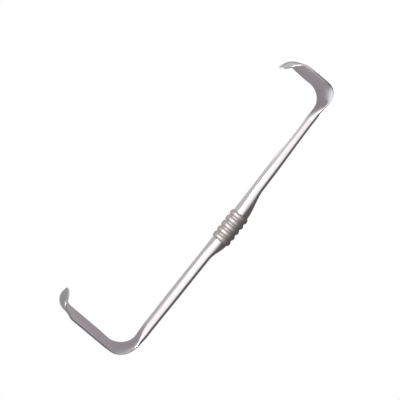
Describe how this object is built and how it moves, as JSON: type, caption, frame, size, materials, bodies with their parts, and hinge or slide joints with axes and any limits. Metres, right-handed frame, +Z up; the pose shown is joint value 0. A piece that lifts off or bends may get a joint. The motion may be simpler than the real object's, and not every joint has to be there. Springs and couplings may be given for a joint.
{
  "type": "surgical retractor",
  "caption": "Hand retractor with a ringed grip on a slim bar; a deep narrow blade and a short wide blade are bent at right angles from its ends, each with a turned-in lip.",
  "frame": {"origin": "centre of the footprint of the retractor at rest on the floor, on its grip and on the lower edge of each bend", "axes": "+X along the handle from the deep narrow blade to the short wide blade, +Y from the handle towards the blades' tips, +Z up"},
  "size_m": [0.2402, 0.0682, 0.0446],
  "materials": {
    "steel": "satin stainless steel, bead-blasted on the grip"
  },
  "bodies": {
    "root": {"retractor": "steel"}
  },
  "joints": []
}
